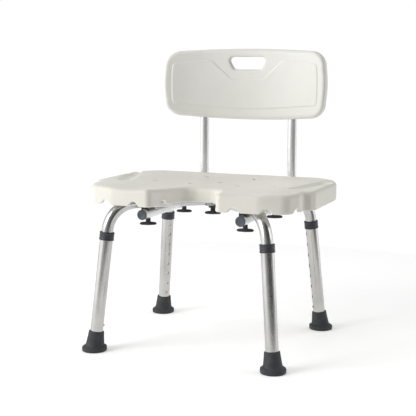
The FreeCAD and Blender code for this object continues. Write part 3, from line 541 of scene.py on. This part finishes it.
def seat_board():
    """The moulded seat: a dished top, a skirt with arches, and a floor inside the skirt."""
    top, bottom = SEAT_HIGH.z, SEAT_LOW.z
    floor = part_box("seat_inserts")[0].z
    outline = seat_outline(2 * MM)
    drains = [(x * MM, y * MM) for x, y in SEAT_DRAINS]

    def top_height(spots):
        rim = rounding(edge_distance(spots, outline), SEAT_RIM)
        height = top - dish(spots) - hand_hold(spots) - rim
        for drain in drains:
            gap = np.linalg.norm(spots - np.array(drain), axis=1)
            height -= DRAIN_DEPTH * ease((DRAIN_MOUTH - gap) / (DRAIN_MOUTH - DRAIN_STEP))
        return height

    def skirt_height(spots):
        """The skirt's lower edge, with its arches in front and through the lobes."""
        x, y = np.abs(spots[:, 0]), spots[:, 1]
        through = np.where(x > 45 * MM, np.abs(y - ARCH_Y), np.inf)
        ahead = [np.where(y < ARCH_Y, np.abs(x - centre), np.inf) for centre in ARCH_X]
        return bottom + arch(np.minimum.reduce([through] + ahead))

    def under_height(spots):
        depth = edge_distance(spots, outline)
        inner = ease((depth - SKIRT_WALL + 0.8 * MM) / (2.4 * MM))
        skirt = skirt_height(spots) + rounding(depth, SEAT_LIP)
        return skirt + (floor - skirt) * inner

    surface = Surface()
    holes = [circle(drain, DRAIN_RADIUS, 20) for drain in drains]
    low, high = outline.min(0), outline.max(0)

    rim = inset_points(outline, np.array([0.3, 1.1, 2.3, 3.8, 5.6, 7.8, 10.5]) * MM)
    mouth_radii = (3.9, 4.6, 5.2, 5.7, 6.2, 6.8, 8.0)
    mouths = [circle(drain, reach * MM, 24) for drain in drains for reach in mouth_radii]
    fine = grid_points(low, high, TROUGH_GRID)
    fine = fine[hand_hold(fine) > 0.02 * MM]
    coarse = grid_points(low, high, TOP_GRID)
    grid = np.concatenate([fine, coarse])
    clear = inside(grid, outline) & (edge_distance(grid, outline) > 12 * MM)
    for drain in drains:
        clear &= np.linalg.norm(grid - np.array(drain), axis=1) > 9.5 * MM
    grid = thinned(grid[clear], SEAT_POINT_GAP)
    extra = np.concatenate([rim] + mouths + [grid])
    upper = field(surface, [outline] + holes, extra,
                  lambda spots: np.column_stack([spots, top_height(spots)]))

    wall = SKIRT_WALL / MM
    depths = [0.3, 0.9, 1.7, 4.5, 8] + [wall + past for past in (-1, -0.4, 0.2, 0.8, 1.4, 2.4)]
    rim = inset_points(outline, np.array(depths) * MM, thin_from=20 * MM)
    grid = grid_points(low, high, UNDER_GRID)
    clear = inside(grid, outline) & (edge_distance(grid, outline) > 18 * MM)
    for drain in drains:
        clear &= np.linalg.norm(grid - np.array(drain), axis=1) > 7 * MM
    lower = field(surface, [outline] + holes, np.concatenate([rim, grid[clear]]),
                  lambda spots: np.column_stack([spots, under_height(spots)]))

    joined_by_wall(surface, upper[0], lower[0], (0.12, 0.3, 0.5, 0.7, 0.88))
    for above, below in zip(upper[1:], lower[1:]):
        joined_by_wall(surface, above, below, (0.5,))
    surface.points = [(x, y + CROSSING.y, z) for x, y, z in surface.points]
    board = surface.piece("moulded_seat", MATERIALS["seat_plastic"], 55)
    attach(board, "seat_frame")
    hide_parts("seat_board")


# ---------------------------------------------------------------- backrest

PANEL_RIM = 9.5 * MM
SLOT_RIM = 5 * MM
PANEL_TOP_BOW, PANEL_LOW_BOW, PANEL_SIDE_BOW = 5.5 * MM, 7.3 * MM, 3 * MM
PANEL_CORNER = 41 * MM
PANEL_THICK = 34 * MM
SLOT_FLARE = 7 * MM
SLOT_TOP, SLOT_LOW, SLOT_HALF_TOP, SLOT_HALF_LOW, SLOT_CORNER = 641, 611, 50, 35, 9
FIELD_TOP, FIELD_LOW = 659, 492
FIELD_RAISE = 1.5 * MM
FIELD_STEP = 1.6 * MM
SCREW_HEIGHTS = (522 * MM, 578 * MM)
SCREW_SINK, SINK_RADIUS, SINK_STEP = 1.8 * MM, 5.6 * MM, 0.6 * MM
PANEL_GRID = 7 * MM


def arc_through(start, knee, end, spacing):
    """Points along the arc through three places, without its end."""
    (ax, ay), (bx, by), (cx, cy) = start, knee, end
    scale = 2 * (ax * (by - cy) + bx * (cy - ay) + cx * (ay - by))
    squares = [ax * ax + ay * ay, bx * bx + by * by, cx * cx + cy * cy]
    x = (squares[0] * (by - cy) + squares[1] * (cy - ay) + squares[2] * (ay - by)) / scale
    y = (squares[0] * (cx - bx) + squares[1] * (ax - cx) + squares[2] * (bx - ax)) / scale
    radius = math.hypot(ax - x, ay - y)
    first = math.atan2(ay - y, ax - x)
    turn = math.atan2(cy - y, cx - x) - first
    between = (math.atan2(by - y, bx - x) - first) % (2 * math.pi)
    turn = turn % (2 * math.pi)
    if between > turn:
        turn -= 2 * math.pi
    count = max(3, math.ceil(abs(turn) * radius / spacing))
    angles = [first + turn * share / count for share in range(count)]
    return [(x + radius * math.cos(a), y + radius * math.sin(a)) for a in angles]


def panel_outline(spacing):
    """The backrest from the front, as x and z, with bowed edges."""
    half, top, bottom = PANEL_HIGH.x, PANEL_HIGH.z, PANEL_LOW.z
    high, low = top - PANEL_TOP_BOW, bottom + PANEL_LOW_BOW
    edge, corner = half - PANEL_SIDE_BOW, PANEL_CORNER
    shoulder = edge - corner * 0.9

    def knee(level, start):
        bulge = 0.42
        x, z = (shoulder + edge) / 2, (level + start) / 2
        return (x + (edge - x) * bulge, z + (level - z) * bulge)

    def flipped(arc):
        return tuple((-x, z) for x, z in reversed(arc))

    rise = ((shoulder, high), knee(high, high - corner), (edge, high - corner))
    side = ((edge, high - corner), (half, (high + low) / 2), (edge, low + corner))
    drop = ((edge, low + corner), knee(low, low + corner), (shoulder, low))
    crown = ((-shoulder, high), (0, top), (shoulder, high))
    keel = ((shoulder, low), (0, bottom), (-shoulder, low))
    arcs = (crown, rise, side, drop, keel, flipped(drop), flipped(side), flipped(rise))
    return np.array([point for arc in arcs for point in arc_through(*arc, spacing)])


def slot_outline(spacing):
    """The hand slot from the front, wider at its top."""
    side = [(SLOT_HALF_LOW, SLOT_LOW, SLOT_CORNER), (SLOT_HALF_TOP, SLOT_TOP, SLOT_CORNER)]
    corners = side + [(-x, z, radius) for x, z, radius in reversed(side)]
    return rounded_loop([tuple(value * MM for value in corner) for corner in corners], spacing)


def field_outline(spacing):
    """The raised field on the panel's front, which dips below the hand slot."""
    half = PANEL_HIGH.x / MM - 21
    side = [
        (36, FIELD_LOW + 25, 700),
        (half - 2, FIELD_LOW + 37, 9),
        (half + 1, (FIELD_TOP + FIELD_LOW) / 2, 500),
        (half - 3, FIELD_TOP - 34, 9),
        (92, FIELD_TOP - 25, 14),
        (42, FIELD_TOP - 70.5, 18),
    ]
    corners = side + [(-x, z, radius) for x, z, radius in reversed(side)]
    return rounded_loop([tuple(value * MM for value in corner) for corner in corners], spacing)


def backrest():
    """The moulded backrest: two swept faces, joined round the edge and through the hand slot."""
    outline, slot = panel_outline(3 * MM), slot_outline(2 * MM)
    wide_slot = slot * np.array([[1 + SLOT_FLARE / (SLOT_HALF_TOP * MM), 1]])
    border = field_outline(3 * MM)
    half = PANEL_HIGH.x
    front_edge, rear_edge = PANEL_LOW.y, PANEL_HIGH.y
    sweep = rear_edge - front_edge - PANEL_THICK
    bend = (half ** 2 + sweep ** 2) / (2 * sweep)
    sink_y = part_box("backrest_screws")[1].y - SCREW_SINK

    def middle_y(spots):
        return rear_edge - PANEL_THICK / 2 - bend + np.sqrt(bend ** 2 - spots[:, 0] ** 2)

    def swell(spots, grip):
        """Half the thickness, less where the edges round off."""
        depth = rounding(edge_distance(spots, outline), PANEL_RIM)
        return PANEL_THICK / 2 - depth - rounding(edge_distance(spots, grip), SLOT_RIM)

    def front(spots):
        gap = edge_distance(spots, border) * np.where(inside(spots, border), 1, -1)
        raised = FIELD_RAISE * ease((gap + FIELD_STEP) / (2 * FIELD_STEP))
        y = middle_y(spots) - swell(spots, slot) + FIELD_RAISE - raised
        return np.column_stack([spots[:, 0], y, spots[:, 1]])

    def rear(spots):
        y = middle_y(spots) + swell(spots, wide_slot)
        for x in (TUBE_X, -TUBE_X):
            for z in SCREW_HEIGHTS:
                gap = np.linalg.norm(spots - np.array([x, z]), axis=1)
                sunk = ease((SINK_RADIUS - gap) / SINK_STEP)
                y -= sunk * (y - sink_y)
        return np.column_stack([spots[:, 0], y, spots[:, 1]])

    surface = Surface()
    low, high = outline.min(0), outline.max(0)
    rims = [inset_points(outline, np.array([0.3, 1.1, 2.3, 3.9, 6, 8.3, 11]) * MM)]
    grip_depths = (0.3, 0.9, 1.9, 3.2, 5, 7)
    grips = [offset_loop(slot, depth * MM) for depth in grip_depths]
    wide_grips = [offset_loop(wide_slot, depth * MM) for depth in grip_depths]
    steps = [offset_loop(border, depth * MM) for depth in (-2.4, -1.6, -0.8, 0, 0.8, 1.6, 2.4)]
    grid = grid_points(low, high, PANEL_GRID)
    clear = inside(grid, outline) & ~inside(grid, slot)
    clear &= (edge_distance(grid, outline) > 12 * MM) & (edge_distance(grid, slot) > 8 * MM)
    plain = grid[clear]
    away = edge_distance(plain, border) > 4 * MM
    spread = np.concatenate(rims + grips + steps + [plain[away]])
    front_ring = field(surface, [outline, slot], spread, front)

    sinks = []
    away = np.ones(len(plain), bool)
    for x in (TUBE_X, -TUBE_X):
        for z in SCREW_HEIGHTS:
            sinks += [circle((x, z), reach * MM, 24) for reach in (4.6, 4.9, 5.15, 5.4, 5.7, 6.6)]
            away &= np.linalg.norm(plain - np.array([x, z]), axis=1) > 8.5 * MM
    away &= ~inside(plain, wide_slot) & (edge_distance(plain, wide_slot) > 8 * MM)
    spread = np.concatenate(rims + wide_grips + sinks + [plain[away]])
    rear_ring = field(surface, [outline, wide_slot], spread, rear)
    for ahead, behind in zip(front_ring, rear_ring):
        joined_by_wall(surface, ahead, behind, (0.25, 0.5, 0.75))
    panel = surface.piece("moulded_backrest", MATERIALS["backrest_plastic"], 55)
    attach(panel, "seat_frame")
    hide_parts("backrest_panel")


# ---------------------------------------------------------------- legs

FOOT_FLANGE = 54.6 * MM
SPRING_INNER, SPRING_OUTER = -7.6 * MM, 9.7 * MM
SPRING_THICK, SPRING_HALF_WIDTH = 0.8 * MM, 4.45 * MM


def leg_axes(leg):
    """A leg's foot point on the floor and its axis upward."""
    foot_low, foot_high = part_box("rubber_foot_" + leg)
    collar = middle("leg_collar_" + leg)
    side_x = 1 if collar.x > 0 else -1
    side_y = 1 if collar.y > CROSSING.y else -1
    foot = Vector((
        (foot_high.x if side_x > 0 else foot_low.x) - side_x * FOOT_FLANGE / 2,
        (foot_high.y if side_y > 0 else foot_low.y) - side_y * FOOT_FLANGE / 2,
        0,
    ))
    return foot, (collar - foot).normalized()


def ring_about(centre, axis, radius, count=48):
    """A circle of points square to an axis. About an upright axis it starts towards +X."""
    across = axis.orthogonal().normalized()
    if abs(axis.z) > 0.5:
        across = (Vector((1, 0, 0)) - axis * axis.x).normalized()
    other = axis.cross(across)
    turns = [2 * math.pi * step / count for step in range(count)]
    return [centre + (across * math.cos(a) + other * math.sin(a)) * radius for a in turns]


def lathe(name, material, origin, axis, profile, count=48, smooth_angle=35):
    """A ring, or a solid where it starts on the axis, turned from (radius, height) pairs."""
    surface = Surface()
    rings = surface.rings([
        ring_about(origin + axis * height, axis, max(radius, 1e-5), count)
        for radius, height in profile
    ])
    if profile[0][0] > 0 and profile[-1][0] > 0:
        surface.stitch(rings[-1], rings[0])
    else:
        for ring, (radius, height) in ((rings[0], profile[0]), (rings[-1], profile[-1])):
            surface.close(ring, origin + axis * height)
    return surface.piece(name, material, smooth_angle)


def squircle(spot, across, up, width, depth, count=24):
    """A rounded-rectangle ring about a point, by half its width and half its depth."""
    ring = []
    for step in range(count):
        angle = 2 * math.pi * step / count
        c, s = math.cos(angle), math.sin(angle)
        ring.append(
            spot
            + across * (width * math.copysign(abs(c) ** 0.6, c))
            + up * (depth * math.copysign(abs(s) ** 0.6, s))
        )
    return ring


def leg_collar(leg):
    """The ribbed collar round the top of a leg, rounded at both lips."""
    foot, axis = leg_axes(leg)
    centre = (middle("leg_collar_" + leg) - foot).dot(axis)
    profile = [
        (14.05, -9), (15.4, -9), (15.95, -8.7), (16.2, -8.1), (16.2, -5.4), (16.0, -4.9),
        (15.7, -4.6), (15.7, -1.6), (15.9, -1.3), (15.9, 1.3), (15.7, 1.6), (15.7, 4.6),
        (16.0, 4.9), (16.2, 5.4),
        (16.2, 7.7), (15.9, 8.5), (15.1, 9), (13.4, 9), (12.95, 8.6), (12.8, 8.1), (12.8, 5.1),
        (14.05, 5.05),
    ]
    profile = [(radius * MM, centre + height * MM) for radius, height in profile]
    collar = lathe("collar_" + leg, MATERIALS["collar_plastic"], foot, axis, profile, 64, 50)
    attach(collar, "leg_" + leg)
    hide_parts("leg_collar_" + leg)


def rubber_foot(leg):
    """A bell-shaped rubber foot: a level flange, and a sleeve that leans with the leg."""
    foot, axis = leg_axes(leg)
    up = Vector((0, 0, 1))
    outer = [
        (25.6, 0.0), (26.6, 0.5), (27.1, 1.6), (27.3, 3.2), (27.3, 7.2), (27.0, 8.6), (26.2, 9.8),
        (25.0, 10.6),
        (23.4, 11.4), (21.8, 12.7), (20.7, 14.4), (20.0, 16.6), (19.5, 19.5), (19.0, 23.5),
        (18.4, 28), (17.8, 33), (17.3, 38), (17.0, 41.2), (16.8, 42.6), (16.3, 43.6),
        (15.6, 44.0), (14.6, 43.9),
        (14.05, 43.2), (14.0, 42), (14.0, 25), (14.0, 6.5),
    ]
    surface = Surface()
    rings = []
    for radius, height in outer:
        lean = ease(np.array((height - 9) / 9)).item()
        direction = (up * (1 - lean) + axis * lean).normalized()
        centre = foot + (up if height < 9 else axis) * height * MM
        rings.append(ring_about(centre, direction, radius * MM, 64))
    numbers = surface.rings(rings)
    surface.close(numbers[-1], foot + axis * (6.5 * MM))
    tread = [(25.6, 0), (21.0, 0), (20.6, 0.3), (20.2, 1.5), (16.8, 1.5), (16.4, 0.3), (16.0, 0),
             (12.0, 0), (11.6, 0.3), (11.2, 1.5), (7.8, 1.5), (7.4, 0.3), (7.0, 0)]
    below = surface.rings([ring_about(foot + up * (height * MM), up, radius * MM, 64)
                           for radius, height in tread])
    surface.close(below[-1], foot.copy())
    piece = surface.piece("foot_" + leg, MATERIALS["foot_rubber"], 50)
    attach(piece, "leg_" + leg)
    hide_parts("rubber_foot_" + leg)


def softened(path, rounds):
    """An open path with its corners cut, so that it bends smoothly."""
    for _ in range(rounds):
        cut = [path[0]]
        for start, end in zip(path, path[1:]):
            cut += [start + (end - start) * 0.25, start + (end - start) * 0.75]
        path = cut + [path[-1]]
    return path


def button_spring(leg):
    """The bent steel strip inside a tube, behind its button."""
    foot, axis = leg_axes(leg)
    outward = (foot - CROSSING).normalized()
    outward = (outward - axis * outward.dot(axis)).normalized()
    width = axis.cross(outward)
    reach = (middle("snap_button_" + leg) - foot).dot(axis)
    top = (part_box("button_spring_" + leg)[1].z - foot.z) / axis.z - reach
    corners = [
        (SPRING_INNER, -5.8 * MM), (SPRING_INNER, 3 * MM), (SPRING_INNER, 7 * MM),
        (SPRING_INNER + 1.3 * MM, 12 * MM), (SPRING_INNER * 0.45, 27 * MM),
        (-1.0 * MM, top - 2.0 * MM), (0.0, top - 1.2 * MM), (1.2 * MM, top - 2.0 * MM),
        (SPRING_OUTER * 0.5, 20 * MM), (SPRING_OUTER, -5.8 * MM),
    ]
    path = softened([foot + outward * x + axis * (reach + z) for x, z in corners], 3)
    surface = Surface()
    rings = []
    for step, spot in enumerate(path):
        ahead = path[min(step + 1, len(path) - 1)] - path[max(step - 1, 0)]
        across = width.cross(ahead.normalized())
        rings.append(squircle(spot, width, across, SPRING_HALF_WIDTH, SPRING_THICK / 2, 16))
    numbers = surface.rings(rings)
    surface.close(numbers[0], path[0])
    surface.close(numbers[-1], path[-1])
    strip = surface.piece("spring_" + leg, MATERIALS["spring_steel"], 50)
    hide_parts("button_spring_" + leg)
    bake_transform(strip)


# ---------------------------------------------------------------- caps and knobs

# Which way each knob's blades lie at rest, in degrees from +X.
KNOB_TURNS = {"front_left": 12, "front_right": 24, "back_left": 20, "back_right": 16, "centre": 18}
BLADE_REACH, BLADE_WIDTH, BLADE_TAPER, BLADE_THICK = 18.5 * MM, 5.5, 1.6, 7.6 * MM
BLADE_DROOP = 0.35 * MM
HUB_RIBS = 3


def tube_cap(side):
    """The domed plug in a back tube's front end."""
    low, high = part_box("tube_cap_" + side)
    centre = (low + high) / 2
    back = Vector((centre.x, high.y, centre.z))
    axis = Vector((0, -1, 0))
    length = (high.y - low.y) / MM
    radius = (high.x - low.x) / 2 / MM
    profile = [
        (0, 0), (radius - 2.6, 0), (radius - 1.6, 1), (radius - 1.6, length - 2.6),
        (radius - 0.2, length - 2.5), (radius, length - 2.3), (radius, length - 1.2),
        (radius - 0.4, length - 0.5), (radius - 1.3, length - 0.1), (radius - 2.2, length),
        (radius - 3.0, length - 0.25), (radius - 3.6, length - 0.5), (0, length - 0.35),
    ]
    profile = [(r * MM, h * MM) for r, h in profile]
    cap = lathe("cap_" + side, MATERIALS["cap_plastic"], back, axis, profile, 48, 40)
    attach(cap, "seat_frame")
    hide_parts("tube_cap_" + side)


def wing_knob(name):
    """A moulded wing knob: two drooping blades, and a ribbed hub as a piece of its own."""
    low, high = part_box("wing_knob_" + name)
    centre = (low + high) / 2
    turn = math.radians(KNOB_TURNS[name])
    heading = Vector((math.cos(turn), math.sin(turn), 0))
    across = Vector((-heading.y, heading.x, 0))
    up = Vector((0, 0, 1))
    root = Vector((centre.x, centre.y, low.z + BLADE_THICK / 2 + BLADE_DROOP))
    blade = Surface()
    rings = []
    for share in np.linspace(-1, 1, 33):
        reach = math.sin(share * math.pi / 2)
        along = reach * BLADE_REACH
        end = math.sqrt(max(0.0, 1 - abs(reach) ** 9))
        width = (BLADE_WIDTH - BLADE_TAPER * abs(reach) ** 1.3) * MM * max(end, 0.02)
        depth = BLADE_THICK / 2 * (1 - 0.22 * abs(reach) ** 1.5) * max(end, 0.02)
        drop = -BLADE_DROOP * abs(reach) ** 2
        rings.append(squircle(root + heading * along + up * drop, across, up, width, depth))
    numbers = blade.rings(rings)
    for ring, face in ((numbers[0], rings[0]), (numbers[-1], rings[-1])):
        blade.close(ring, sum(face, Vector()) / len(face))
    piece = blade.piece("knob_" + name, MATERIALS["black_plastic"], 50)
    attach(piece, "knob_" + name)
    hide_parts("wing_knob_" + name)
    height = (high.z - low.z) / MM
    hub = [(0, 0.6), (4.6, 0.6), (5.4, 1.2), (5.7, 2.2), (5.7, 8.6)]
    pitch = (height - 9.2) / HUB_RIBS
    for rib in range(HUB_RIBS):
        start = 9.0 + pitch * rib
        hub += [(5.3, start), (5.3, start + pitch * 0.35)]
        hub += [(5.7, start + pitch * 0.5), (5.7, start + pitch * 0.85)]
    hub += [(5.3, height), (0, height)]
    profile = [(r * MM, h * MM) for r, h in hub]
    seat = Vector((centre.x, centre.y, low.z))
    stem = lathe("hub_" + name, MATERIALS["black_plastic"], seat, up, profile, 32, 40)
    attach(stem, "knob_" + name)


# ---------------------------------------------------------------- camera, light and floor

# The photo's camera, fitted to the chair: angles in degrees, lens on a 36 mm sensor.
VIEW_AZIMUTH, VIEW_ELEVATION, VIEW_ROLL = 21.78, 8.45, 0.27
VIEW_DISTANCE, VIEW_HEIGHT, VIEW_ASIDE = 2203.4 * MM, 303.4 * MM, 11.12 * MM
VIEW_LENS, VIEW_SENSOR = 84.72, 36
# How bright the surroundings are by direction, in degrees to the right of the camera's own side.
SURROUNDINGS = (
    (-180, 1.0), (-166, 1.0), (-152, 0.25), (-138, 0.4), (-120, 1.5), (-70, 1.5), (-40, 0.6),
    (-8, 0.25), (14, 0.1), (46, 0.1), (74, 0.35), (98, 1.4), (125, 1.6), (142, 0.3), (154, 0.25),
    (167, 1.0), (180, 1.0),
)
OVERHEAD = 0.75
FLOOR_RADIUS = 1.2


def camera():
    """The photo's view, from in front and to the sitter's left, a little above the seat."""
    azimuth, elevation = math.radians(VIEW_AZIMUTH), math.radians(VIEW_ELEVATION)
    roll = math.radians(VIEW_ROLL)
    back = Vector((
        math.sin(azimuth) * math.cos(elevation),
        -math.cos(azimuth) * math.cos(elevation),
        math.sin(elevation),
    ))
    right = Vector((math.cos(azimuth), math.sin(azimuth), 0))
    up = back.cross(right)
    aim = Vector((0, CROSSING.y, VIEW_HEIGHT)) - right * VIEW_ASIDE
    right, up = (
        right * math.cos(roll) + up * math.sin(roll),
        up * math.cos(roll) - right * math.sin(roll),
    )
    lens = bpy.data.cameras.new("camera")
    lens.lens = VIEW_LENS
    lens.sensor_width = VIEW_SENSOR
    eye = bpy.data.objects.new("camera", lens)
    turn = Matrix((right, up, back)).transposed().to_4x4()
    eye.matrix_world = Matrix.Translation(aim + back * VIEW_DISTANCE) @ turn
    bpy.context.scene.collection.objects.link(eye)
    bpy.context.scene.camera = eye


def area_light(name, place, aim, size, power):
    """A soft box at a place, turned towards the aim."""
    lamp = bpy.data.lights.new(name, "AREA")
    lamp.shape = "RECTANGLE"
    lamp.size, lamp.size_y = size
    lamp.energy = power
    thing = bpy.data.objects.new(name, lamp)
    thing.location = place
    thing.rotation_euler = (Vector(aim) - Vector(place)).to_track_quat("-Z", "Y").to_euler()
    bpy.context.scene.collection.objects.link(thing)


def surroundings():
    """A white studio with darker stretches, which show as soft stripes in polished metal."""
    world = bpy.data.worlds.new("studio")
    world.use_nodes = True
    tree = world.node_tree
    where = tree.nodes.new("ShaderNodeTexCoord")
    mapping = tree.nodes.new("ShaderNodeMapping")
    mapping.inputs["Rotation"].default_value = (0, 0, math.radians(90 - VIEW_AZIMUTH))
    round_trip = tree.nodes.new("ShaderNodeTexGradient")
    round_trip.gradient_type = "RADIAL"
    shades = tree.nodes.new("ShaderNodeValToRGB")
    shades.color_ramp.interpolation = "EASE"
    stops = shades.color_ramp.elements
    while len(stops) > 1:
        stops.remove(stops[-1])
    for number, (angle, shade) in enumerate(SURROUNDINGS):
        place = 0.5 + angle / 360
        stop = stops[0] if number == 0 else stops.new(place)
        stop.position = place
        stop.color = (shade, shade, shade, 1)
    direction = tree.nodes.new("ShaderNodeSeparateXYZ")
    dimmed = tree.nodes.new("ShaderNodeVectorMath")
    dimmed.operation = "SCALE"
    background = tree.nodes["Background"]
    background.inputs["Strength"].default_value = 1.02
    tree.links.new(where.outputs["Generated"], mapping.inputs["Vector"])
    tree.links.new(mapping.outputs["Vector"], round_trip.inputs["Vector"])
    tree.links.new(round_trip.outputs["Fac"], shades.inputs["Fac"])
    tree.links.new(shades.outputs["Color"], dimmed.inputs[0])
    tree.links.new(where.outputs["Generated"], direction.inputs["Vector"])
    overhead = ramp(tree, direction.outputs["Z"], 1.0, OVERHEAD, 0.2, 0.6)
    tree.links.new(overhead, dimmed.inputs["Scale"])
    tree.links.new(dimmed.outputs["Vector"], background.inputs["Color"])
    bpy.context.scene.world = world


def studio():
    """A round white floor, bright surroundings, and soft boxes in front, beside and overhead."""
    surroundings()
    bpy.context.scene.view_settings.view_transform = "Standard"
    aim = (0, CROSSING.y, 0.35)
    area_light("left_box", (-1.7, -1.9, 1.3), aim, (1.2, 1.4), 34)
    area_light("right_box", (2.4, 0.2, 1.2), aim, (0.8, 1.4), 7)
    area_light("top_box", (0.0, -0.3, 2.4), aim, (1.8, 1.8), 4)
    mesh = bpy.data.meshes.new("floor")
    edge = circle((0, 0), FLOOR_RADIUS, 128)
    mesh.from_pydata([(x, y, 0) for x, y in edge], [], [tuple(range(len(edge)))])
    material, _, shader = new_material("floor_white", (0.93, 0.93, 0.93), 0.9)
    shader.inputs["Specular IOR Level"].default_value = 0.1
    shader.inputs["Emission Color"].default_value = (1, 1, 1, 1)
    shader.inputs["Emission Strength"].default_value = 0.25
    mesh.materials.append(material)
    floor = bpy.data.objects.new("floor", mesh)
    bpy.context.scene.collection.objects.link(floor)


dress_cad_nodes()
seat_board()
backrest()
for leg_name in LEGS:
    leg_collar(leg_name)
    rubber_foot(leg_name)
    button_spring(leg_name)
for side_name in ("left", "right"):
    tube_cap(side_name)
for knob_name in KNOBS:
    wing_knob(knob_name)
camera()
studio()
